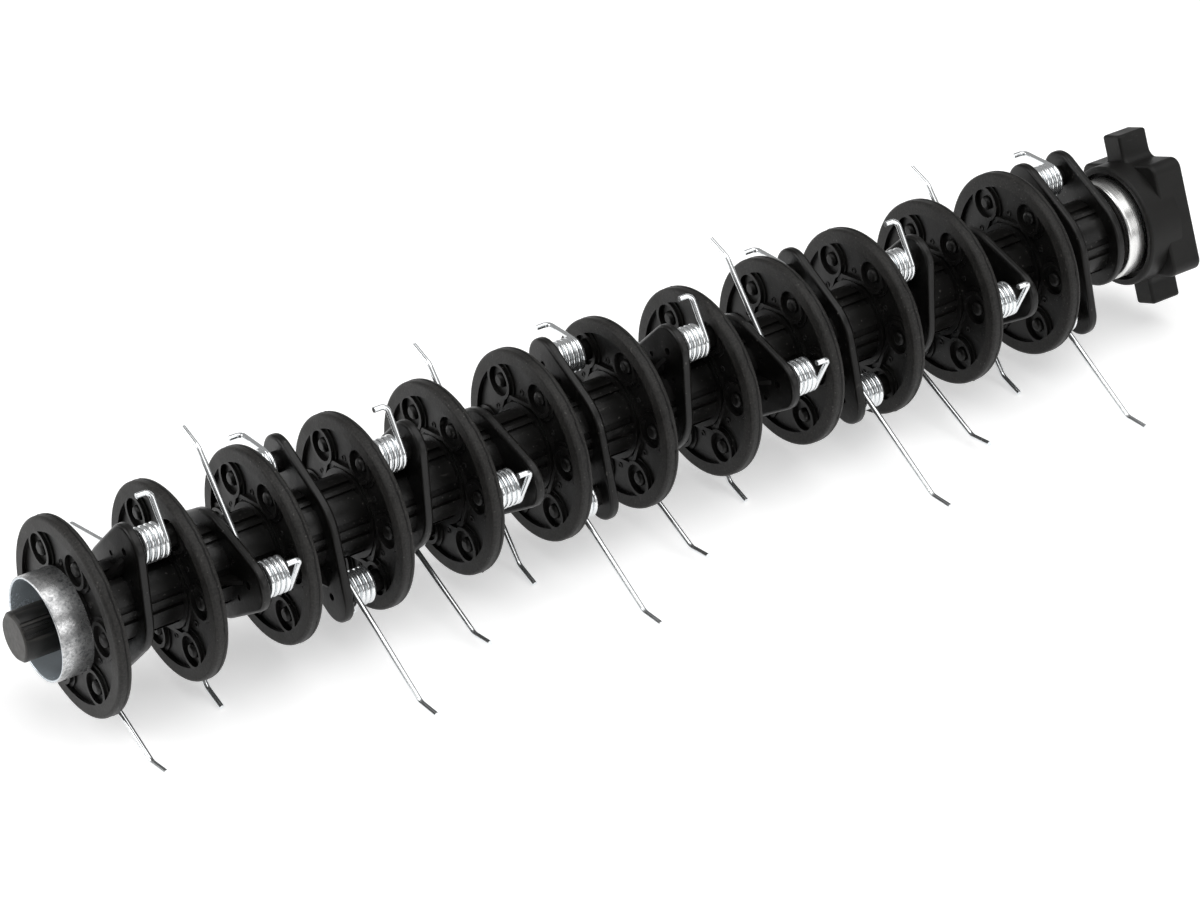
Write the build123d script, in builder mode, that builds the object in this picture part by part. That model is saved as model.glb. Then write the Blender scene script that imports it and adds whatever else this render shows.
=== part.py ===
from build123d import *
from math import asin, cos, degrees, pi, radians, sin, tan
import os

# Spring tine roller of an electric lawn scarifier, sizes in millimetres.
# The roller's axis is X. The origin is on that axis at the front face of the first disc.
# The drive end is at -X, the bearing end at +X, and +Z is up as the roller lies on a bench.
# Angles are measured around the axis from +Y towards +Z.

# Layout along the roller
gap_count = 12
pitch = 30.8
first_lobe_angle = 109.0
lobe_step = 60.0

# Shaft
shaft_radius = 7.5
stub_length = 16.5
stub_chamfer = 0.9
stub_groups = 3
stub_groove_width = 0.6
stub_groove_depth = 0.4
stub_groove_spacing = 9.0
stub_grooves_per_group = 5
stub_root = 1.5
hex_flats = 13.0
hex_clearance = 0.1
journal_radius = 5.0
edge_break = 0.5

# Discs
disc_radius = 30.0
disc_thickness = 4.2
disc_edge_fillet = 1.1
rim_width = 4.3
web_thickness = 1.4
boss_radius = 13.8
socket_circle_radius = 21.0
socket_count = 6
socket_outer_radius = 5.8
socket_wall = 1.1
socket_step_width = 1.2
socket_step_height = 0.5
peg_radius = 2.3
peg_dome = 1.2
rib_width = 1.2
rib_inset = 0.25
root_overlap = 0.5

# Carriers
sleeve_radius = 12.0
sleeve_groove_width = 2.2
sleeve_groove_depth = 1.0
sleeve_groove_pair_angle = 17.0
sleeve_groove_pairs = 6
plate_thickness = 3.0
plate_centre_radius = 16.6
lobe_radius = 8.1
plate_edge_fillet = 1.0
pin_radius = 3.3
pin_bore_radius = 2.45
pin_bore_depth = 3.5
pin_end_clearance = 0.1
lobe_hole_radius = 1.2
lobe_hole_depth = 1.4
gusset_width = 1.4
gusset_reach = 6.0
gusset_height = 6.5
dimple_radius = 0.9
dimple_depth = 0.4
dimple_inset = 7.0
dimple_spread = 6.0

# Spring tines
wire_diameter = 1.7
coil_mean_radius = 4.7
coil_pitch = 1.75
coil_turns = 4
coil_end_arc = 112.0
coil_seat_gap = 0.6
leg_length = 42.2
leg_bend_radius = 4.0
tip_length = 7.4
tip_bend = 31.0
hook_length = 13.5
hook_bend_radius = 2.0
hook_end_length = 4.4
tine_clearance = 0.3
low_front_swing = -21.0
low_rear_swing = -87.0

# Drive ring
ring_radius = 15.8
ring_wall = 0.9
ring_reach = 9.7
ring_edge_fillet = 0.3

# Bearing, a common 10 x 30 x 9 ball bearing
bearing_bore = 10.0
bearing_outer_diameter = 30.0
bearing_width = 9.0
bearing_start = 12.0
race_wall = 3.0
ball_count = 8
ball_radius = 2.35
ball_gap = 0.06
cage_wall = 1.3
cage_width = 6.4
cage_pocket_gap = 0.15
fit_gap = 0.03

# Bearing cup
cup_wall = 1.2
cup_start = 2.3
cup_lip = 1.4
cup_edge_radius = 1.1
collar_gap = 0.5
collar_length = 8.0

# Housing
housing_collar_radius = 19.9
housing_start = 8.2
housing_recess_radius = 17.8
housing_recess_depth = 3.2
housing_collar_length = 7.0
block_half_size = 18.6
block_corner_radius = 3.6
block_thickness = 11.2
housing_tilt = 67.0
ear_width = 8.8
ear_reach = 28.2
ear_fillet = 3.0
housing_edge_fillet = 1.0
housing_back_wall = 2.0
cavity_radius = 10.0

# Shaft end
washer_radius = 7.4
washer_thickness = 1.2
washer_hole_radius = 2.6
screw_radius = 2.5
screw_length = 14.0
screw_end_play = 1.0
screw_head_radius = 4.2
screw_head_height = 2.4
screw_socket_flats = 3.0
screw_socket_depth = 1.4

# Places that follow from the sizes above
wire_radius = wire_diameter / 2
web_start = (disc_thickness - web_thickness) / 2
web_end = web_start + web_thickness
sleeve_length = pitch - disc_thickness
plate_start = (sleeve_length - plate_thickness) / 2
pin_length = plate_start + web_start - pin_end_clearance
roller_end = gap_count * pitch
end_plate_back = roller_end + plate_thickness
cup_front = end_plate_back + cup_start
bearing_front = end_plate_back + bearing_start - collar_gap
bearing_back = bearing_front + bearing_width
cup_inner_radius = bearing_outer_diameter / 2 + fit_gap
cup_outer_radius = cup_inner_radius + cup_wall
cup_back = bearing_back + cup_lip
housing_front = end_plate_back + housing_start
block_front = housing_front + housing_collar_length
housing_back = block_front + block_thickness
cavity_back = housing_back - housing_back_wall
stop_offset = sleeve_radius + wire_radius + tine_clearance + coil_mean_radius
stop_swing = degrees(asin(min(1.0, stop_offset / socket_circle_radius))) - 180

os.makedirs("parts", exist_ok=True)


def around(radius, angle):
    """A point at a radius and an angle in a sketch that faces along the axis."""
    return (radius * cos(radians(angle)), radius * sin(radians(angle)))


def section(x):
    """The plane across the roller at a place on its axis."""
    return Plane(origin=(x, 0, 0), x_dir=(0, 1, 0), z_dir=(1, 0, 0))


def save(part, name, x=0.0, angle=0.0):
    """Write one piece, moved along the axis and turned about it."""
    placed = part.moved(Location((x, 0, 0), (angle, 0, 0)))
    placed.label = name
    export_step(placed, "parts/" + name + ".step")


# The shaft: a round ribbed stub, a hexagonal core and a bearing journal
with BuildPart() as drive_shaft:
    with BuildSketch(section(-stub_length)):
        Circle(shaft_radius)
    extrude(amount=stub_length)
    chamfer(drive_shaft.faces().sort_by(Axis.X)[0].edges(), stub_chamfer)
    with BuildSketch(section(0)):
        RegularPolygon(hex_flats / 2, 6, major_radius=False, rotation=first_lobe_angle)
    extrude(amount=bearing_front)
    with BuildSketch(section(bearing_front)):
        Circle(journal_radius)
    extrude(amount=bearing_width)
    chamfer(drive_shaft.faces().sort_by(Axis.X)[-1].edges(), edge_break)
    with BuildSketch(section(-stub_length)):
        for group in range(stub_groups):
            for groove in range(stub_grooves_per_group):
                turn = 360 / stub_groups * group + stub_groove_spacing * groove
                with Locations(Location((*around(shaft_radius, turn), 0), (0, 0, turn))):
                    Rectangle(2 * stub_groove_depth, stub_groove_width)
    extrude(amount=stub_length - stub_root, mode=Mode.SUBTRACT)
    with BuildSketch(section(bearing_back - screw_length)):
        Circle(screw_radius + fit_gap)
    extrude(amount=screw_length, mode=Mode.SUBTRACT)
save(drive_shaft.part, "drive_shaft")

# One disc: rim, web, boss, six ring sockets with domed pegs, and the ribs that join the sockets
with BuildPart() as disc:
    with BuildSketch(section(0)):
        Circle(disc_radius)
        Circle(disc_radius - rim_width, mode=Mode.SUBTRACT)
    extrude(amount=disc_thickness)
    rim_edges = disc.edges().filter_by(GeomType.CIRCLE).filter_by(lambda e: e.radius > disc_radius - 0.1)
    fillet(rim_edges, disc_edge_fillet)
    with BuildSketch(section(web_start)):
        Circle(disc_radius - rim_width + root_overlap)
    extrude(amount=web_thickness)
    with BuildSketch(section(0)):
        Circle(boss_radius)
        with PolarLocations(socket_circle_radius, socket_count, start_angle=first_lobe_angle):
            Circle(socket_outer_radius)
    extrude(amount=disc_thickness)
    rib_place = boss_radius + rib_width / 2
    half_step = 180 / socket_count
    with BuildSketch(section(rib_inset)):
        with PolarLocations(rib_place, socket_count, start_angle=first_lobe_angle + half_step):
            Rectangle(rib_width, 2 * rib_place * tan(radians(half_step)))
    extrude(amount=disc_thickness - 2 * rib_inset)
    with BuildSketch(section(web_start - socket_step_height)):
        with PolarLocations(socket_circle_radius, socket_count, start_angle=first_lobe_angle):
            Circle(socket_outer_radius + socket_step_width)
        Circle(disc_radius - rim_width + root_overlap, mode=Mode.INTERSECT)
    extrude(amount=web_thickness + 2 * socket_step_height)
    for face_x, depth in ((0, web_start), (web_end, web_start)):
        with BuildSketch(section(face_x)):
            with PolarLocations(socket_circle_radius, socket_count, start_angle=first_lobe_angle):
                Circle(socket_outer_radius - socket_wall)
        extrude(amount=depth, mode=Mode.SUBTRACT)
    with BuildPart(mode=Mode.PRIVATE) as peg:
        with BuildSketch(section(0)):
            Circle(peg_radius)
        extrude(amount=disc_thickness)
        fillet(peg.edges().filter_by(GeomType.CIRCLE), peg_dome)
    for number in range(socket_count):
        y, z = around(socket_circle_radius, first_lobe_angle + 360 / socket_count * number)
        add(peg.part.moved(Location((0, y, z))))
    with BuildSketch(section(0)):
        RegularPolygon(hex_flats / 2 + hex_clearance, 6, major_radius=False, rotation=first_lobe_angle)
    extrude(amount=disc_thickness, mode=Mode.SUBTRACT)
for number in range(gap_count):
    save(disc.part, f"disc_{number + 1:02d}", x=number * pitch)


def plate_outline(lobes):
    """The rounded plate: a centre circle joined by tangent sides to a circle at each lobe."""
    Circle(plate_centre_radius)
    for lobe in lobes:
        with BuildSketch(mode=Mode.PRIVATE) as half:
            Circle(plate_centre_radius)
            with Locations(around(socket_circle_radius, lobe)):
                Circle(lobe_radius)
            make_hull()
        add(half.sketch)


# One carrier: a grooved sleeve, a plate with two lobes, and a spring pin on each lobe,
# one towards +X on the first lobe and one towards -X on the lobe across from it
with BuildPart() as carrier:
    with BuildSketch(section(0)):
        Circle(sleeve_radius)
        for pair in range(sleeve_groove_pairs):
            for side in (-1, 1):
                turn = 360 / sleeve_groove_pairs * pair + side * sleeve_groove_pair_angle / 2
                with Locations(Location((*around(sleeve_radius, turn), 0), (0, 0, turn))):
                    Rectangle(2 * sleeve_groove_depth, sleeve_groove_width, mode=Mode.SUBTRACT)
    extrude(amount=sleeve_length)
    with BuildPart(mode=Mode.PRIVATE) as plate:
        with BuildSketch(section(plate_start)):
            plate_outline((0, 180))
        extrude(amount=plate_thickness)
        fillet(plate.edges().filter_by(lambda e: abs(e.bounding_box().size.X) < 0.01), plate_edge_fillet)
    add(plate.part)
    for side in (0, 180):
        turned = Location((sleeve_length / 2, 0, 0), (0, 0, side))
        lobe_plane = Plane(origin=(plate_thickness / 2, socket_circle_radius, 0), x_dir=(0, 1, 0), z_dir=(1, 0, 0))
        with BuildPart(mode=Mode.PRIVATE) as pin:
            with BuildSketch(lobe_plane):
                Circle(pin_radius)
            extrude(amount=pin_length)
            with BuildSketch(lobe_plane.offset(pin_length - pin_bore_depth)):
                Circle(pin_bore_radius)
            extrude(amount=pin_bore_depth, mode=Mode.SUBTRACT)
        add(pin.part.moved(turned))
        with BuildPart(mode=Mode.PRIVATE) as gusset:
            with BuildSketch(Plane.XY.offset(-gusset_width / 2)):
                with BuildLine():
                    Polyline(
                        (-plate_thickness / 2, sleeve_radius - root_overlap),
                        (-plate_thickness / 2 - gusset_height, sleeve_radius - root_overlap),
                        (-plate_thickness / 2, sleeve_radius + gusset_reach),
                        close=True,
                    )
                make_face()
            extrude(amount=gusset_width)
        add(gusset.part.moved(turned))
        with BuildPart(mode=Mode.PRIVATE) as hollows:
            with BuildSketch(lobe_plane.offset(-plate_thickness)):
                Circle(lobe_hole_radius)
            extrude(amount=lobe_hole_depth)
            with BuildSketch(lobe_plane.offset(-plate_thickness)):
                with Locations((-dimple_inset, dimple_spread), (-dimple_inset, -dimple_spread)):
                    Circle(dimple_radius)
            extrude(amount=dimple_depth)
        add(hollows.part.moved(turned), mode=Mode.SUBTRACT)
    with BuildSketch(section(0)):
        RegularPolygon(hex_flats / 2 + hex_clearance, 6, major_radius=False)
    extrude(amount=sleeve_length, mode=Mode.SUBTRACT)
for number in range(gap_count):
    save(
        carrier.part,
        f"carrier_{number + 1:02d}",
        x=number * pitch + disc_thickness,
        angle=first_lobe_angle + lobe_step * number,
    )

# The end carrier closes the last spring: one lobe with a blind hole for the pin, and a collar
last_lobe_angle = first_lobe_angle + lobe_step * (gap_count - 1)
with BuildPart() as end_carrier:
    with BuildSketch(section(0)):
        plate_outline((0,))
    extrude(amount=plate_thickness)
    fillet(end_carrier.edges().filter_by(lambda e: abs(e.bounding_box().size.X) < 0.01), plate_edge_fillet)
    with BuildSketch(section(plate_thickness)):
        Circle(cup_inner_radius - cup_lip - collar_gap)
    extrude(amount=collar_length)
    with BuildSketch(section(0)):
        with Locations((socket_circle_radius, 0)):
            Circle(pin_radius + hex_clearance)
    extrude(amount=pin_length - plate_start + hex_clearance, mode=Mode.SUBTRACT)
    with BuildSketch(section(0)):
        RegularPolygon(hex_flats / 2 + hex_clearance, 6, major_radius=False)
    extrude(amount=plate_thickness + bearing_start, mode=Mode.SUBTRACT)
save(end_carrier.part, "end_carrier", x=roller_end, angle=last_lobe_angle)

# One spring tine, its coil around the X axis and its leg along +Y: a bent tip, the long leg,
# a close coil and a short hooked leg. Each turn is two half circles that tilt to carry the wire on.
with BuildPart() as tine:
    with BuildLine() as wire_path:
        r = coil_mean_radius
        bend_start = leg_length - leg_bend_radius * sin(radians(tip_bend / 2))
        tip_direction = Vector(0, cos(radians(tip_bend)), -sin(radians(tip_bend)))
        bend_end = Vector(
            0,
            bend_start + leg_bend_radius * sin(radians(tip_bend)),
            -r - leg_bend_radius * (1 - cos(radians(tip_bend))),
        )
        bend_middle = (
            0,
            bend_start + leg_bend_radius * sin(radians(tip_bend / 2)),
            -r - leg_bend_radius * (1 - cos(radians(tip_bend / 2))),
        )
        Line(bend_end + tip_direction * tip_length, bend_end)
        ThreePointArc(bend_end, bend_middle, (0, bend_start, -r))
        Line((0, bend_start, -r), (0, 0, -r))
        angle = -90.0
        place = 0.0
        for half_turn in range(2 * coil_turns):
            start = (place, r * cos(radians(angle)), r * sin(radians(angle)))
            middle = (
                place + coil_pitch / 4,
                r * cos(radians(angle - 90)),
                r * sin(radians(angle - 90)),
            )
            end = (
                place + coil_pitch / 2,
                r * cos(radians(angle - 180)),
                r * sin(radians(angle - 180)),
            )
            ThreePointArc(start, middle, end)
            angle -= 180
            place += coil_pitch / 2
        middle_angle = radians(angle - coil_end_arc / 2)
        end_angle = radians(angle - coil_end_arc)
        hook_foot = Vector(place, r * cos(end_angle), r * sin(end_angle))
        ThreePointArc(end, (place, r * cos(middle_angle), r * sin(middle_angle)), hook_foot)
        hook_direction = Vector(0, cos(end_angle - pi / 2), sin(end_angle - pi / 2))
        hook_bend_start = hook_foot + hook_direction * (hook_length - hook_bend_radius)
        hook_bend_end = hook_bend_start + (hook_direction - Vector(1, 0, 0)) * hook_bend_radius
        hook_bend_middle = (
            hook_bend_start
            + hook_direction * (hook_bend_radius * sin(pi / 4))
            - Vector(1, 0, 0) * (hook_bend_radius * (1 - cos(pi / 4)))
        )
        Line(hook_foot, hook_bend_start)
        ThreePointArc(hook_bend_start, hook_bend_middle, hook_bend_end)
        Line(hook_bend_end, hook_bend_end - Vector(1, 0, 0) * (hook_end_length - hook_bend_radius))
    with BuildSketch(Plane(origin=bend_end + tip_direction * tip_length, z_dir=-tip_direction)):
        Circle(wire_radius)
    sweep(path=wire_path.wire())


def save_tine(name, x, lobe, swing):
    """Write one tine on its pin, turned about the pin from the outward direction."""
    y, z = around(socket_circle_radius, lobe)
    placed = tine.part.moved(Location((x, y, z), (lobe + swing, 0, 0)))
    placed.label = name
    export_step(placed, "parts/" + name + ".step")


def rest_swing(lobe):
    """How a tine lies at rest: most lean on the sleeve, and two low rows lie on the bench."""
    steps = round((lobe - first_lobe_angle) / lobe_step) % 6
    if steps == 2:
        return low_front_swing
    if steps == 3:
        return low_rear_swing
    return stop_swing


right_offset = disc_thickness + plate_start + plate_thickness + coil_seat_gap + wire_radius
left_offset = disc_thickness + coil_seat_gap + wire_radius
for number in range(gap_count):
    lobe = first_lobe_angle + lobe_step * number
    save_tine(f"tine_{2 * number + 1:02d}", number * pitch + left_offset, lobe + 180, rest_swing(lobe + 180))
    save_tine(f"tine_{2 * number + 2:02d}", number * pitch + right_offset, lobe, rest_swing(lobe))

# The drive ring: a thin steel ring around the first disc's boss
with BuildPart() as drive_ring:
    with BuildSketch(section(-ring_reach)):
        Circle(ring_radius)
        Circle(ring_radius - ring_wall, mode=Mode.SUBTRACT)
    extrude(amount=ring_reach)
    fillet(drive_ring.faces().sort_by(Axis.X)[0].edges(), ring_edge_fillet)
save(drive_ring.part, "drive_ring")

# The bearing: two races with a ball groove, eight balls and their cage
ball_circle_radius = (bearing_bore + bearing_outer_diameter) / 4
bearing_middle = bearing_front + bearing_width / 2
with BuildPart() as inner_race:
    with BuildSketch(section(bearing_front)):
        Circle(bearing_bore / 2 + race_wall)
        Circle(bearing_bore / 2 + fit_gap, mode=Mode.SUBTRACT)
    extrude(amount=bearing_width)
    with BuildSketch(Plane.XY):
        with Locations((bearing_middle, ball_circle_radius)):
            Circle(ball_radius + ball_gap)
    revolve(axis=Axis.X, mode=Mode.SUBTRACT)
save(inner_race.part, "bearing_inner_race")

with BuildPart() as outer_race:
    with BuildSketch(section(bearing_front)):
        Circle(bearing_outer_diameter / 2)
        Circle(bearing_outer_diameter / 2 - race_wall, mode=Mode.SUBTRACT)
    extrude(amount=bearing_width)
    with BuildSketch(Plane.XY):
        with Locations((bearing_middle, ball_circle_radius)):
            Circle(ball_radius + ball_gap)
    revolve(axis=Axis.X, mode=Mode.SUBTRACT)
save(outer_race.part, "bearing_outer_race")

with BuildPart() as balls:
    for number in range(ball_count):
        y, z = around(ball_circle_radius, 360 / ball_count * number)
        with Locations((bearing_middle, y, z)):
            Sphere(ball_radius)
save(balls.part, "bearing_balls")

with BuildPart() as cage:
    with BuildSketch(section(bearing_middle - cage_width / 2)):
        Circle(ball_circle_radius + cage_wall / 2)
        Circle(ball_circle_radius - cage_wall / 2, mode=Mode.SUBTRACT)
    extrude(amount=cage_width)
    for number in range(ball_count):
        y, z = around(ball_circle_radius, 360 / ball_count * number)
        with Locations((bearing_middle, y, z)):
            Sphere(ball_radius + cage_pocket_gap, mode=Mode.SUBTRACT)
save(cage.part, "bearing_cage")

# The bearing cup: a pressed steel ring with a rounded front edge and an inward lip
with BuildPart() as bearing_cup:
    with BuildSketch(section(cup_front)):
        Circle(cup_outer_radius)
    extrude(amount=cup_back - cup_front)
    fillet(bearing_cup.faces().sort_by(Axis.X)[0].edges(), cup_edge_radius)
    with BuildSketch(section(cup_front)):
        Circle(cup_inner_radius - cup_lip)
    extrude(amount=cup_back - cup_front, mode=Mode.SUBTRACT)
    with BuildSketch(section(cup_front + cup_wall)):
        Circle(cup_inner_radius)
    extrude(amount=bearing_back - cup_front - cup_wall, mode=Mode.SUBTRACT)
save(bearing_cup.part, "bearing_cup")

# The housing: a collar around the cup and a square block with an ear at the top and the bottom
with BuildPart() as housing:
    with BuildSketch(section(block_front)):
        RectangleRounded(2 * block_half_size, 2 * block_half_size, block_corner_radius)
        Rectangle(2 * ear_reach, ear_width)
    extrude(amount=block_thickness)
    ear_roots = housing.edges().filter_by(Axis.X).filter_by(
        lambda e: abs(abs(e.center().Y) - block_half_size) < 0.01 and abs(abs(e.center().Z) - ear_width / 2) < 0.01
    )
    fillet(ear_roots, ear_fillet)
    ear_tips = housing.edges().filter_by(Axis.X).filter_by(lambda e: abs(abs(e.center().Y) - ear_reach) < 0.01)
    fillet(ear_tips, housing_edge_fillet)
    rims = housing.edges().filter_by(lambda e: abs(e.bounding_box().size.X) < 0.01)
    fillet(rims, housing_edge_fillet)
    with BuildSketch(section(housing_front)):
        Circle(housing_collar_radius)
    extrude(amount=housing_collar_length + block_thickness / 2)
    fillet(housing.faces().sort_by(Axis.X)[0].edges(), housing_edge_fillet)
    with BuildSketch(section(housing_front)):
        Circle(housing_recess_radius)
    extrude(amount=housing_recess_depth, mode=Mode.SUBTRACT)
    with BuildSketch(section(housing_front)):
        Circle(cup_outer_radius + fit_gap)
    extrude(amount=cup_back - housing_front, mode=Mode.SUBTRACT)
    with BuildSketch(section(cup_back)):
        Circle(cavity_radius)
    extrude(amount=cavity_back - cup_back, mode=Mode.SUBTRACT)
save(housing.part, "bearing_housing", angle=housing_tilt)

# The washer and the socket-head screw that hold the bearing on the shaft
with BuildPart() as end_washer:
    with BuildSketch(section(bearing_back)):
        Circle(washer_radius)
        Circle(washer_hole_radius, mode=Mode.SUBTRACT)
    extrude(amount=washer_thickness)
save(end_washer.part, "end_washer")

with BuildPart() as end_screw:
    with BuildSketch(section(bearing_back - screw_length + screw_end_play)):
        Circle(screw_radius)
    extrude(amount=screw_length - screw_end_play + washer_thickness)
    with BuildSketch(section(bearing_back + washer_thickness)):
        Circle(screw_head_radius)
    extrude(amount=screw_head_height)
    with BuildSketch(section(bearing_back + washer_thickness + screw_head_height)):
        RegularPolygon(screw_socket_flats / 2, 6, major_radius=False)
    extrude(amount=-screw_socket_depth, mode=Mode.SUBTRACT)
save(end_screw.part, "end_screw")
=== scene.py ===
from math import cos, pi, radians, sin

import bmesh
import bpy
from mathutils import Matrix, Vector, noise


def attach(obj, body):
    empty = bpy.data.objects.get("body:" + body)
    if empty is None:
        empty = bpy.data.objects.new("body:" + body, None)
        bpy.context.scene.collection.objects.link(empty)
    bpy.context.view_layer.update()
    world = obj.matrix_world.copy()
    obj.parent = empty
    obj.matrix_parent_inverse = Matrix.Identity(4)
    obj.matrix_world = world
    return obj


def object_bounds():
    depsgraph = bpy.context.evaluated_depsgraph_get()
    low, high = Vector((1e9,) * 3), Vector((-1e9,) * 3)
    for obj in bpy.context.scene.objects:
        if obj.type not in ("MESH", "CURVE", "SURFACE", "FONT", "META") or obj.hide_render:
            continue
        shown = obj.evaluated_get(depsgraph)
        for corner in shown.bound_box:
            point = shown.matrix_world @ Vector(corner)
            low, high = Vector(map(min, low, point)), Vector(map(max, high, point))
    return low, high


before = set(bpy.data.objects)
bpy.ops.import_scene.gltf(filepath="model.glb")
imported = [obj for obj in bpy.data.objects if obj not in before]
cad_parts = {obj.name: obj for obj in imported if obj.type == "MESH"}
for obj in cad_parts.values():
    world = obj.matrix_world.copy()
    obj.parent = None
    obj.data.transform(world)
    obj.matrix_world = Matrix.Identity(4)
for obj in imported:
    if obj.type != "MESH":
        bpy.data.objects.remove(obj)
cad_low, cad_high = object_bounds()

MM = 0.001

# Sizes of the CAD part that the details follow, in millimetres and degrees
PITCH = 30.8
DISC_COUNT = 12
DISC_RADIUS = 30.0
RIM_INNER_RADIUS = 25.7
WEB_FRONT = 1.4
WEB_BACK = 2.8
SOCKET_COUNT = 6
SOCKET_STEP = 60.0
FIRST_LOBE = 109.0
STUB_END = -16.5
RING_RADIUS = 15.8

# Where the halves of the mould met on a disc, from its front face
PARTING_PLACE = 2.65

# Most values of a noise pattern lie between these
NOISE_LOW = 0.3
NOISE_HIGH = 0.7

WHITE = (1.0, 1.0, 1.0, 1.0)


# Node helpers

def new_group(name, inputs, outputs):
    """A shader node group with named sockets."""
    tree = bpy.data.node_groups.new(name, "ShaderNodeTree")
    for socket_name, kind in inputs:
        tree.interface.new_socket(socket_name, in_out="INPUT", socket_type=kind)
    for socket_name, kind in outputs:
        tree.interface.new_socket(socket_name, in_out="OUTPUT", socket_type=kind)
    return tree, tree.nodes.new("NodeGroupInput"), tree.nodes.new("NodeGroupOutput")


def feed(tree, made, values):
    """Set a node's input sockets, or link them where a value is another node's output."""
    for key, value in values.items():
        if isinstance(value, bpy.types.NodeSocket):
            tree.links.new(value, made.inputs[key])
        else:
            made.inputs[key].default_value = value


def node(tree, kind, values, **settings):
    """Add a node with its properties and its inputs."""
    made = tree.nodes.new(kind)
    for key, value in settings.items():
        setattr(made, key, value)
    feed(tree, made, values)
    return made


def use_group(tree, group, values):
    """Put a node group into a tree, and give its outputs."""
    return node(tree, "ShaderNodeGroup", values, node_tree=group).outputs


def compute(tree, operation, first, second=0.0):
    """One Math node, as its output socket."""
    return node(tree, "ShaderNodeMath", {0: first, 1: second}, operation=operation).outputs[0]


def add_share(tree, total, value, share):
    """A value plus a share of another one."""
    return compute(tree, "ADD", total, compute(tree, "MULTIPLY", value, share))


def spread(tree, value, low, high, to_low=0.0, to_high=1.0):
    """Map a value from one range to another, clamped."""
    values = {"Value": value, "From Min": low, "From Max": high, "To Min": to_low, "To Max": to_high}
    return node(tree, "ShaderNodeMapRange", values).outputs["Result"]


def mix_colour(tree, factor, first, second):
    """Blend two colours, by the sockets that the Mix node has for colours."""
    factor_socket, first_socket, second_socket, result_socket = 0, 6, 7, 2
    values = {factor_socket: factor, first_socket: first, second_socket: second}
    return node(tree, "ShaderNodeMix", values, data_type="RGBA").outputs[result_socket]


def cloud(tree, place, **values):
    """A noise pattern as a value, with the scale, detail and roughness that are given."""
    named = {key.capitalize(): value for key, value in values.items()}
    return node(tree, "ShaderNodeTexNoise", {"Vector": place, **named}).outputs["Fac"]


# Shared surface effects

def make_grain_group():
    """Fine grain over a soft swell, as a normal, with the two noises as masks."""
    tree, source, target = new_group(
        "Surface Grain",
        (
            ("Vector", "NodeSocketVector"),
            ("Grain Scale", "NodeSocketFloat"), ("Grain Depth", "NodeSocketFloat"),
            ("Swell Scale", "NodeSocketFloat"), ("Swell Depth", "NodeSocketFloat"),
        ),
        (("Normal", "NodeSocketVector"), ("Swell", "NodeSocketFloat"), ("Grain", "NodeSocketFloat")),
    )
    given = source.outputs
    grain = cloud(tree, given["Vector"], scale=given["Grain Scale"], detail=2.0)
    swell = cloud(tree, given["Vector"], scale=given["Swell Scale"], detail=3.0)
    wide = node(tree, "ShaderNodeBump", {"Distance": given["Swell Depth"], "Height": swell})
    fine = node(tree, "ShaderNodeBump", {
        "Distance": given["Grain Depth"], "Height": grain, "Normal": wide.outputs["Normal"],
    })
    feed(tree, target, {"Normal": fine.outputs["Normal"], "Swell": swell, "Grain": grain})
    return tree


def make_around_group():
    """How far a point is from the roller's axis, and fine streaks that run around that axis."""
    tree, source, target = new_group(
        "Around Axis",
        (("Vector", "NodeSocketVector"), ("Across Scale", "NodeSocketFloat")),
        (("Radius", "NodeSocketFloat"), ("Streak", "NodeSocketFloat")),
    )
    parts = node(tree, "ShaderNodeSeparateXYZ", {0: source.outputs["Vector"]}).outputs
    y_squared = compute(tree, "MULTIPLY", parts["Y"], parts["Y"])
    z_squared = compute(tree, "MULTIPLY", parts["Z"], parts["Z"])
    radius = compute(tree, "SQRT", compute(tree, "ADD", y_squared, z_squared))
    across = compute(tree, "ADD", parts["X"], radius)
    turned = node(tree, "ShaderNodeCombineXYZ", {
        "X": compute(tree, "MULTIPLY", across, source.outputs["Across Scale"]),
        "Y": compute(tree, "DIVIDE", parts["Y"], radius),
        "Z": compute(tree, "DIVIDE", parts["Z"], radius),
    })
    streak = cloud(tree, turned.outputs[0], scale=1.6, detail=3.0)
    feed(tree, target, {"Radius": radius, "Streak": streak})
    return tree


SCRATCH_TURN = (0.4, 0.9, 0.3)
SCRATCH_STRETCH = (1.0, 9.0, 3.0)
# The values of each noise where its mark starts and where it is full
SCRATCH_CREST = (0.6, 0.72)
SCUFFED_PATCH = (0.5, 0.62)
SPECK_CREST = (0.76, 0.82)
SPECK_PATCH = (0.42, 0.5)


def make_scuff_group():
    """Sparse fine scratches and scuffs as one mask, and tiny pale specks as another."""
    tree, source, target = new_group(
        "Scuffs",
        (("Vector", "NodeSocketVector"), ("Scale", "NodeSocketFloat")),
        (("Mask", "NodeSocketFloat"), ("Specks", "NodeSocketFloat")),
    )
    place, scale = source.outputs["Vector"], source.outputs["Scale"]
    stretched = node(tree, "ShaderNodeMapping", {
        "Vector": place, "Rotation": SCRATCH_TURN, "Scale": SCRATCH_STRETCH,
    })
    lines = cloud(tree, stretched.outputs[0], scale=scale, detail=6.0, roughness=0.7)
    patches = cloud(tree, place, scale=scale, detail=2.0)
    dots = cloud(tree, place, scale=1300.0, detail=0.0)
    scratches = spread(tree, lines, *SCRATCH_CREST)
    specks = spread(tree, dots, *SPECK_CREST)
    feed(tree, target, {
        "Mask": compute(tree, "MULTIPLY", scratches, spread(tree, patches, *SCUFFED_PATCH)),
        "Specks": compute(tree, "MULTIPLY", specks, spread(tree, patches, *SPECK_PATCH)),
    })
    return tree


GRAIN = make_grain_group()
AROUND = make_around_group()
SCUFFS = make_scuff_group()


# Materials

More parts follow.
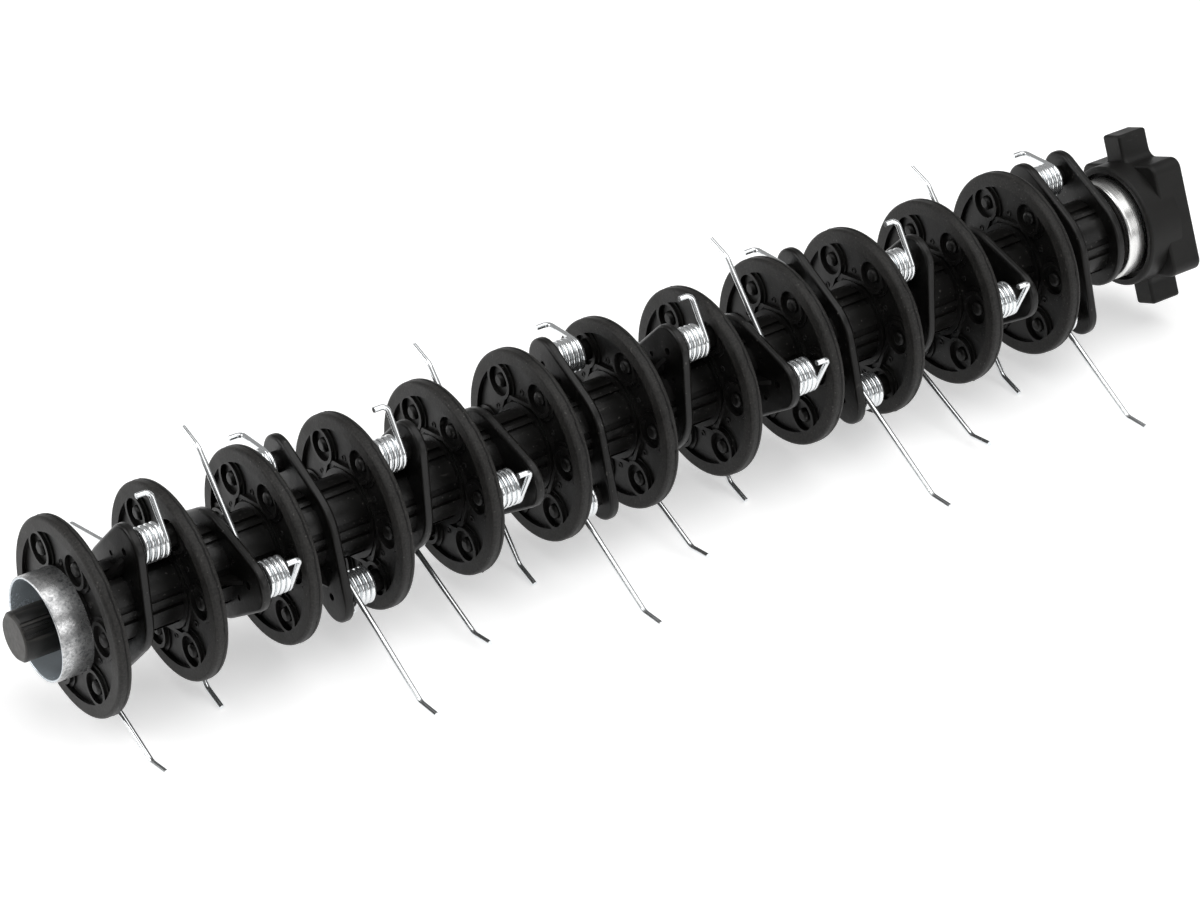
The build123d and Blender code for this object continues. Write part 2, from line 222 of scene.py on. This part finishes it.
def new_material(name):
    """A material with a Principled shader and the object's own coordinates."""
    made = bpy.data.materials.new(name)
    made.use_nodes = True
    tree = made.node_tree
    place = tree.nodes.new("ShaderNodeTexCoord").outputs["Object"]
    return made, tree, tree.nodes["Principled BSDF"], place


def add_grain(tree, place, scale, depth, swell_scale, swell_depth):
    """The shared grain with a material's own scales, and its depths in millimetres."""
    return use_group(tree, GRAIN, {
        "Vector": place, "Grain Scale": scale, "Grain Depth": depth * MM,
        "Swell Scale": swell_scale, "Swell Depth": swell_depth * MM,
    })


SCUFF_COLOUR = (0.12, 0.115, 0.108, 1.0)
SCUFF_STRENGTH = 0.35
SCUFF_ROUGHNESS = 0.12
PLASTIC_SCUFF_SCALE = 70.0


def make_plastic(name, tones, rough, gloss, rim_tones_over_shaded_web=None, specks=0.0):
    """Black moulded plastic with fine grain, uneven gloss and scuffs. Only the discs have rim tones: their
    recessed webs stay darker, partly from a smoother finish and partly as painted shade.
    """
    made, tree, shader, place = new_material(name)
    grain = add_grain(tree, place, scale=1500.0, depth=0.03, swell_scale=120.0, swell_depth=0.12)
    scuffs = use_group(tree, SCUFFS, {"Vector": place, "Scale": PLASTIC_SCUFF_SCALE})
    colour = mix_colour(tree, spread(tree, grain["Swell"], NOISE_LOW, NOISE_HIGH), *tones)
    roughness = spread(tree, grain["Swell"], NOISE_LOW, NOISE_HIGH, *rough)
    normal = grain["Normal"]
    if rim_tones_over_shaded_web:
        colour, roughness, normal = dress_rim_and_shade_web(tree, place, grain, colour, roughness, rim_tones_over_shaded_web)
    marks = compute(tree, "MULTIPLY", scuffs["Mask"], SCUFF_STRENGTH)
    if specks:
        marks = compute(tree, "MAXIMUM", marks, compute(tree, "MULTIPLY", scuffs["Specks"], specks))
    feed(tree, shader, {
        "Base Color": mix_colour(tree, marks, colour, SCUFF_COLOUR),
        "Roughness": add_share(tree, roughness, scuffs["Mask"], SCUFF_ROUGHNESS),
        "Normal": normal,
        "Specular IOR Level": gloss,
    })
    return made


RIM_EDGE_END = RIM_INNER_RADIUS + 0.3
RIM_SWELL_SHARE = 0.6
RIM_SPECKLE = (0.5, 1.1)
RIM_ROUGHNESS = 0.1
GROOVE_DEPTH = 0.12
# Painted shade along the parting line's groove: how strong it is, and its colour
GROOVE_SHADE_STRENGTH = 0.85
GROOVE_SHADE_COLOUR = (0.002, 0.002, 0.002, 1.0)


def dress_rim_and_shade_web(tree, place, grain, colour, roughness, tones):
    """A paler, rougher rim than the web inside it. The web's darker colour is partly its own smoother
    finish and partly painted shade in the recess. A groove runs along the parting line, darkened with
    painted shade.
    """
    radius = use_group(tree, AROUND, {"Vector": place})["Radius"]
    # Off the rim, the web keeps the darker plain tones: partly its smoother finish, partly painted shade
    # in the recess
    rim_over_shaded_web = spread(tree, radius, RIM_INNER_RADIUS * MM, RIM_EDGE_END * MM)
    speckle = add_share(tree, grain["Grain"], grain["Swell"], RIM_SWELL_SHARE)
    paler = mix_colour(tree, spread(tree, speckle, *RIM_SPECKLE), *tones)
    colour = mix_colour(tree, rim_over_shaded_web, colour, paler)
    roughness = add_share(tree, roughness, rim_over_shaded_web, RIM_ROUGHNESS)
    line = parting_line(tree, place, radius)
    # Painted shade darkens the parting line, as if it lay in its groove
    colour = mix_colour(tree, compute(tree, "MULTIPLY", line, GROOVE_SHADE_STRENGTH), colour, GROOVE_SHADE_COLOUR)
    values = {"Distance": GROOVE_DEPTH * MM, "Height": line, "Normal": grain["Normal"]}
    groove = node(tree, "ShaderNodeBump", values, invert=True)
    return colour, roughness, groove.outputs["Normal"]


LINE_WANDER = 0.25
LINE_CORE = 0.1
LINE_EDGE = 0.32
LINE_OUTER_START = DISC_RADIUS - 0.8
LINE_OUTER_END = DISC_RADIUS - 0.2


def parting_line(tree, place, radius):
    """A mask of the uneven line that the mould leaves around every rim."""
    along = node(tree, "ShaderNodeSeparateXYZ", {0: place}).outputs["X"]
    wobble = cloud(tree, place, scale=190.0, detail=3.0)
    shift = spread(tree, wobble, NOISE_LOW, NOISE_HIGH, -LINE_WANDER * MM, LINE_WANDER * MM)
    shifted = compute(tree, "ADD", compute(tree, "ADD", along, shift), PITCH * MM)
    in_disc = compute(tree, "MODULO", shifted, PITCH * MM)
    off = compute(tree, "ABSOLUTE", compute(tree, "SUBTRACT", in_disc, PARTING_PLACE * MM))
    near = spread(tree, off, LINE_CORE * MM, LINE_EDGE * MM, 1.0, 0.0)
    outermost = spread(tree, radius, LINE_OUTER_START * MM, LINE_OUTER_END * MM)
    return compute(tree, "MULTIPLY", near, outermost)


OXIDE_DARK = (0.007, 0.0068, 0.0063, 1.0)
OXIDE_STREAK = (0.05, 0.047, 0.043, 1.0)
OXIDE_ROUGH = (0.36, 0.52)
OXIDE_GLOSS = 0.3
# Tones of the paler end face
END_FACE_DARK = (0.042, 0.04, 0.037, 1.0)
END_FACE_PALE = (0.068, 0.065, 0.061, 1.0)
STREAK_STRETCH = (0.12, 1.0, 1.0)
STREAK_CREST = (0.52, 0.72)
FACE_FULL = STUB_END + 0.15
FACE_EDGE = STUB_END + 0.5


def make_shaft(name):
    """Black oxide steel: dark sides with pale streaks along the shaft, and a paler grey end face."""
    made, tree, shader, place = new_material(name)
    grain = add_grain(tree, place, scale=1500.0, depth=0.03, swell_scale=200.0, swell_depth=0.08)
    drawn = node(tree, "ShaderNodeMapping", {"Vector": place, "Scale": STREAK_STRETCH})
    streaks = cloud(tree, drawn.outputs[0], scale=620.0, detail=4.0)
    side = mix_colour(tree, spread(tree, streaks, *STREAK_CREST), OXIDE_DARK, OXIDE_STREAK)
    face = mix_colour(tree, grain["Swell"], END_FACE_DARK, END_FACE_PALE)
    along = node(tree, "ShaderNodeSeparateXYZ", {0: place}).outputs["X"]
    on_face = spread(tree, along, FACE_FULL * MM, FACE_EDGE * MM, 1.0, 0.0)
    feed(tree, shader, {
        "Base Color": mix_colour(tree, on_face, side, face),
        "Roughness": spread(tree, streaks, NOISE_LOW, NOISE_HIGH, *OXIDE_ROUGH),
        "Normal": grain["Normal"],
        "Specular IOR Level": OXIDE_GLOSS,
    })
    return made


TURNING_SCALE = 3000.0
TURNING_DEPTH = 0.004


def make_turned_steel(name, tones, rough):
    """Bare metal with fine streaks around the roller's axis."""
    made, tree, shader, place = new_material(name)
    streak = use_group(tree, AROUND, {"Vector": place, "Across Scale": TURNING_SCALE})["Streak"]
    grain = add_grain(tree, place, scale=4000.0, depth=0.004, swell_scale=200.0, swell_depth=0.02)
    turning = node(tree, "ShaderNodeBump", {
        "Distance": TURNING_DEPTH * MM, "Height": streak, "Normal": grain["Normal"],
    })
    feed(tree, shader, {
        "Base Color": mix_colour(tree, streak, *tones),
        "Roughness": spread(tree, streak, NOISE_LOW, NOISE_HIGH, *rough),
        "Normal": turning.outputs["Normal"],
        "Metallic": 1.0,
    })
    return made


ZINC_SHADE = (0.77, 0.8, 0.82, 1.0)
ZINC_BRIGHT = (0.94, 0.95, 0.95, 1.0)
ZINC_ROUGH = (0.1, 0.2)
DULL_COLOUR = (0.5, 0.51, 0.52, 1.0)
DULL_STRENGTH = 0.3
DULL_ROUGHNESS = 0.1
WIRE_SCUFF_SCALE = 300.0


def make_wire(name):
    """Bright zinc plate on drawn wire: smooth, a cool tint, faint cloudiness and a few dull spots."""
    made, tree, shader, place = new_material(name)
    grain = add_grain(tree, place, scale=900.0, depth=0.0004, swell_scale=260.0, swell_depth=0.004)
    spots = use_group(tree, SCUFFS, {"Vector": place, "Scale": WIRE_SCUFF_SCALE})["Mask"]
    bright = mix_colour(tree, grain["Swell"], ZINC_SHADE, ZINC_BRIGHT)
    dulled = compute(tree, "MULTIPLY", spots, DULL_STRENGTH)
    roughness = spread(tree, grain["Swell"], NOISE_LOW, NOISE_HIGH, *ZINC_ROUGH)
    feed(tree, shader, {
        "Base Color": mix_colour(tree, dulled, bright, DULL_COLOUR),
        "Roughness": add_share(tree, roughness, spots, DULL_ROUGHNESS),
        "Normal": grain["Normal"],
        "Metallic": 0.9,
    })
    return made


SPANGLE_DARK = (0.1, 0.105, 0.11, 1.0)
SPANGLE_PALE = (0.97, 0.97, 0.97, 1.0)
SPANGLE_ROUGH = (0.34, 0.15)
SPANGLE_RANGE = (0.38, 0.78)
# How much of the spangle comes from its crystals, its fine speckle and its wide patches
CRYSTAL_SHARE = 0.1
SPECKLE_SHARE = 0.5
PATCH_SHARE = 0.55
BORE_SHADE = (0.62, 0.68, 0.73, 1.0)
BORE_PALE = (0.8, 0.87, 0.92, 1.0)
# The bore's finish gives way to the spangle inside the ring's wall
SKIN_START = RING_RADIUS - 0.6
SKIN_END = RING_RADIUS - 0.2
SKIN_ROUGHNESS = 0.04
BORE_METALLIC = 0.45
SKIN_METALLIC = 0.9


def make_galvanised(name):
    """Spangled zinc outside the ring, smoother blue-grey metal inside it."""
    made, tree, shader, place = new_material(name)
    radius = use_group(tree, AROUND, {"Vector": place})["Radius"]
    outside = spread(tree, radius, SKIN_START * MM, SKIN_END * MM)
    cells = node(tree, "ShaderNodeTexVoronoi", {"Vector": place, "Scale": 1500.0})
    crystal = node(tree, "ShaderNodeSeparateColor", {0: cells.outputs["Color"]}).outputs["Red"]
    speckle = cloud(tree, place, scale=1100.0, detail=6.0, roughness=0.8)
    patches = cloud(tree, place, scale=95.0, detail=5.0)
    tone = compute(tree, "MULTIPLY", crystal, CRYSTAL_SHARE)
    tone = add_share(tree, tone, speckle, SPECKLE_SHARE)
    tone = add_share(tree, tone, patches, PATCH_SHARE)
    mottled = mix_colour(tree, spread(tree, tone, *SPANGLE_RANGE), SPANGLE_DARK, SPANGLE_PALE)
    smooth = mix_colour(tree, speckle, BORE_SHADE, BORE_PALE)
    roughness = spread(tree, tone, *SPANGLE_RANGE, *SPANGLE_ROUGH)
    grain = add_grain(tree, place, scale=1400.0, depth=0.006, swell_scale=300.0, swell_depth=0.02)
    feed(tree, shader, {
        "Base Color": mix_colour(tree, outside, smooth, mottled),
        "Roughness": add_share(tree, roughness, outside, SKIN_ROUGHNESS),
        "Normal": grain["Normal"],
        "Metallic": spread(tree, outside, 0.0, 1.0, BORE_METALLIC, SKIN_METALLIC),
    })
    return made


# The plain tones colour the recessed web, which is darker than the rim partly as painted shade
DISC_PLASTIC = make_plastic(
    "disc_plastic", tones=((0.0035, 0.0033, 0.003, 1.0), (0.008, 0.0076, 0.007, 1.0)),
    rough=(0.36, 0.48), gloss=0.26,
    rim_tones_over_shaded_web=((0.006, 0.0057, 0.0053, 1.0), (0.032, 0.0306, 0.0287, 1.0)), specks=0.4,
)
CARRIER_PLASTIC = make_plastic(
    "carrier_plastic", tones=((0.0035, 0.0033, 0.003, 1.0), (0.0085, 0.0081, 0.0075, 1.0)),
    rough=(0.28, 0.4), gloss=0.32, specks=0.5,
)
RUBBER = make_plastic(
    "housing_rubber", tones=((0.005, 0.0048, 0.0044, 1.0), (0.0105, 0.0101, 0.0094, 1.0)),
    rough=(0.42, 0.54), gloss=0.26,
)
SHAFT_BLACK = make_shaft("shaft_black")
WIRE = make_wire("zinc_wire")
GALVANISED = make_galvanised("galvanised")
CUP_STEEL = make_turned_steel(
    "cup_steel", tones=((0.66, 0.66, 0.65, 1.0), (0.96, 0.96, 0.94, 1.0)), rough=(0.2, 0.36),
)
BEARING_STEEL = make_turned_steel(
    "bearing_steel", tones=((0.55, 0.56, 0.58, 1.0), (0.75, 0.76, 0.78, 1.0)), rough=(0.1, 0.2),
)
CAGE_STEEL = make_turned_steel(
    "cage_steel", tones=((0.4, 0.4, 0.4, 1.0), (0.6, 0.6, 0.6, 1.0)), rough=(0.3, 0.42),
)

FINISHES = {
    "drive_shaft": SHAFT_BLACK, "drive_ring": GALVANISED, "end_washer": GALVANISED,
    "end_carrier": CARRIER_PLASTIC, "bearing_cup": CUP_STEEL, "bearing_housing": RUBBER,
    "bearing_inner_race": BEARING_STEEL, "bearing_outer_race": BEARING_STEEL,
    "bearing_balls": BEARING_STEEL, "bearing_cage": CAGE_STEEL, "end_screw": BEARING_STEEL,
}


def finish_of(name):
    """The material of a CAD node."""
    if name.startswith("disc_"):
        return DISC_PLASTIC
    if name.startswith("carrier_"):
        return CARRIER_PLASTIC
    if name.startswith("tine_"):
        return WIRE
    return FINISHES[name]


for name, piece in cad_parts.items():
    for slot in piece.material_slots:
        slot.material = finish_of(name)


# Moulding details on the discs, in millimetres

def new_piece(name, sheet, material, body):
    """Turn a finished bmesh into an object that rides on a CAD body."""
    bmesh.ops.recalc_face_normals(sheet, faces=sheet.faces)
    mesh = bpy.data.meshes.new(name)
    sheet.to_mesh(mesh)
    sheet.free()
    for face in mesh.polygons:
        face.use_smooth = True
    piece = bpy.data.objects.new(name, mesh)
    bpy.context.scene.collection.objects.link(piece)
    mesh.materials.append(material)
    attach(piece, body)


FLASH_HALF_WIDTH = 0.17
FLASH_ROOT = 0.05
FLASH_STEPS = 210
FLASH_WANDER = 0.16
FLASH_HEIGHT = 0.03
FLASH_SWELL = 0.06
FLASH_TALLEST = 0.28
# Scales of the noise along the roller and across it, in noise cells to a metre
NOISE_ALONG = 900.0
NOISE_ACROSS = 330.0
LONG_WAVE = 0.45
TAG_WAVE = 2.3
TAG_OFFSET = Vector((7.1, 3.3, 1.9))
TAG_START = 0.36
TAG_GAIN = 0.9


def add_rim_flash():
    """The uneven moulding flash that runs around every rim, with a taller tag here and there."""
    sheet = bmesh.new()
    for number in range(DISC_COUNT):
        middle = (number * PITCH + PARTING_PLACE) * MM
        corners = (
            (middle - FLASH_HALF_WIDTH * MM, 0.0, (DISC_RADIUS - FLASH_ROOT) * MM),
            (middle, 0.0, DISC_RADIUS * MM),
            (middle + FLASH_HALF_WIDTH * MM, 0.0, (DISC_RADIUS - FLASH_ROOT) * MM),
        )
        verts = [sheet.verts.new(corner) for corner in corners]
        edges = [sheet.edges.new((verts[i], verts[(i + 1) % 3])) for i in range(3)]
        bmesh.ops.spin(
            sheet, geom=verts + edges, cent=(0.0, 0.0, 0.0), axis=(1.0, 0.0, 0.0), angle=2 * pi,
            steps=FLASH_STEPS, use_merge=True, use_duplicate=False,
        )
    for vert in sheet.verts:
        seed = Vector((vert.co.x * NOISE_ALONG, vert.co.y * NOISE_ACROSS, vert.co.z * NOISE_ACROSS))
        wave = noise.noise(seed * LONG_WAVE)
        tag = max(0.0, noise.noise(seed * TAG_WAVE + TAG_OFFSET) - TAG_START)
        vert.co.x += FLASH_WANDER * MM * wave
        around = Vector((0.0, vert.co.y, vert.co.z))
        if around.length > (DISC_RADIUS - FLASH_ROOT / 2) * MM:
            lift = (FLASH_HEIGHT + FLASH_SWELL * (wave + 0.5) + TAG_GAIN * tag) * MM
            vert.co += around.normalized() * min(lift, FLASH_TALLEST * MM)
    new_piece("rim_flash", sheet, DISC_PLASTIC, "roller")


EJECTOR_CIRCLE = 17.0
EJECTOR_RADIUS = 0.95
EJECTOR_HEIGHT = 0.22
EJECTOR_ROOT = 0.1
EJECTOR_WALL = 0.22
EJECTOR_SLOPE = 0.08
EJECTOR_HOLLOW = 0.2
EJECTOR_SIDES = 20


def add_ejector_marks():
    """The small round ejector marks between the sockets, on both faces of every web."""
    sheet = bmesh.new()
    for number in range(DISC_COUNT):
        for face_x, out in ((WEB_FRONT, -1.0), (WEB_BACK, 1.0)):
            for step in range(SOCKET_COUNT):
                angle = radians(FIRST_LOBE + SOCKET_STEP / 2 + SOCKET_STEP * step)
                place = Matrix.Translation((
                    (number * PITCH + face_x - out * EJECTOR_ROOT) * MM,
                    EJECTOR_CIRCLE * MM * cos(angle),
                    EJECTOR_CIRCLE * MM * sin(angle),
                )) @ Matrix.Rotation(out * pi / 2, 4, "Y")
                circle = bmesh.ops.create_circle(
                    sheet, cap_ends=True, cap_tris=False, segments=EJECTOR_SIDES,
                    radius=EJECTOR_RADIUS * MM, matrix=place,
                )
                face = circle["verts"][0].link_faces[0]
                raised = bmesh.ops.extrude_discrete_faces(sheet, faces=[face])["faces"][0]
                lift = Vector((out * (EJECTOR_HEIGHT + EJECTOR_ROOT) * MM, 0.0, 0.0))
                bmesh.ops.translate(sheet, verts=raised.verts, vec=lift)
                bmesh.ops.inset_individual(sheet, faces=[raised], thickness=EJECTOR_WALL * MM, depth=0.0)
                bmesh.ops.inset_individual(
                    sheet, faces=[raised], thickness=EJECTOR_SLOPE * MM, depth=-EJECTOR_HOLLOW * MM,
                )
    new_piece("ejector_marks", sheet, DISC_PLASTIC, "roller")


add_rim_flash()
add_ejector_marks()


# Studio: floor, light and camera, in metres

FLOOR_MIDDLE = 0.2
FLOOR_HALF_SIZE = 8.0
FLOOR_ROUGHNESS = 0.9
FLOOR_SHADE = (0.86, 0.86, 0.86, 1.0)
FLOOR_PALE = (0.88, 0.88, 0.88, 1.0)
SHINE_START = 0.6
SHINE_END = 2.2
SHINE_NEAR = 0.45
SHINE_FAR = 0.8
WORLD_LIGHT = 0.26
# Each lamp's name, place, aim, size and power
LAMPS = (
    ("lamp_top", (0.3, -0.3, 1.3), (0.19, 0.0, 0.0), (2.0, 1.4), 15.0),
    ("lamp_left", (-0.9, 0.5, 0.7), (0.15, 0.0, 0.0), (0.8, 0.8), 6.0),
    ("lamp_front", (0.7, -1.1, 0.5), (0.2, 0.0, 0.0), (0.9, 0.6), 2.6),
)
# Fitted to the outlines of the discs in the photograph
CAMERA_PLACE = (-0.43482433, -0.89684225, 0.68351841)
CAMERA_RIGHT = (0.82173673, -0.56981337, -0.00725986)
CAMERA_UP = (0.31171548, 0.43877992, 0.84278186)
CAMERA_LENS = 128.96
CAMERA_SENSOR = 36.0


def make_floor_material():
    """A white floor that keeps the shadows. It shines for the camera and in reflections, more far away."""
    made, tree, shader, place = new_material("studio_floor")
    path = tree.nodes.new("ShaderNodeLightPath").outputs
    seen = compute(tree, "MAXIMUM", path["Is Camera Ray"], path["Is Glossy Ray"])
    distance = node(tree, "ShaderNodeVectorMath", {0: place}, operation="LENGTH").outputs["Value"]
    shine = spread(tree, distance, SHINE_START, SHINE_END, SHINE_NEAR, SHINE_FAR)
    feed(tree, shader, {
        "Base Color": mix_colour(tree, cloud(tree, place, scale=3.0), FLOOR_SHADE, FLOOR_PALE),
        "Roughness": FLOOR_ROUGHNESS,
        "Specular IOR Level": 0.0,
        "Emission Color": WHITE,
        "Emission Strength": compute(tree, "MULTIPLY", seen, shine),
    })
    return made


def add_floor(height):
    """The floor, a plain sheet under the roller."""
    mesh = bpy.data.meshes.new("floor")
    sheet = bmesh.new()
    bmesh.ops.create_grid(sheet, x_segments=4, y_segments=4, size=FLOOR_HALF_SIZE)
    bmesh.ops.translate(sheet, verts=sheet.verts, vec=(FLOOR_MIDDLE, 0.0, height))
    sheet.to_mesh(mesh)
    sheet.free()
    floor = bpy.data.objects.new("floor", mesh)
    bpy.context.scene.collection.objects.link(floor)
    mesh.materials.append(make_floor_material())


def add_lamp(name, place, aim, size, power):
    """A soft rectangular lamp."""
    data = bpy.data.lights.new(name, "AREA")
    data.shape = "RECTANGLE"
    data.size, data.size_y = size
    data.energy = power
    lamp = bpy.data.objects.new(name, data)
    bpy.context.scene.collection.objects.link(lamp)
    direction = Vector(aim) - Vector(place)
    lamp.location = place
    lamp.rotation_euler = direction.to_track_quat("-Z", "Y").to_euler()


def set_world():
    """Even pale light all around."""
    world = bpy.data.worlds.new("studio")
    bpy.context.scene.world = world
    world.use_nodes = True
    background = world.node_tree.nodes["Background"]
    background.inputs["Strength"].default_value = WORLD_LIGHT
    background.inputs["Color"].default_value = WHITE


def add_camera():
    """The photograph's camera."""
    data = bpy.data.cameras.new("camera")
    data.sensor_width = CAMERA_SENSOR
    data.lens = CAMERA_LENS
    data.clip_start = 0.05
    data.clip_end = 100.0
    camera = bpy.data.objects.new("camera", data)
    bpy.context.scene.collection.objects.link(camera)
    right, up = Vector(CAMERA_RIGHT), Vector(CAMERA_UP)
    turn = Matrix((right, up, right.cross(up))).transposed()
    camera.matrix_world = Matrix.Translation(CAMERA_PLACE) @ turn.to_4x4()
    bpy.context.scene.camera = camera


add_floor(cad_low[2])
for lamp in LAMPS:
    add_lamp(*lamp)
set_world()
add_camera()
bpy.context.scene.view_settings.view_transform = "Standard"
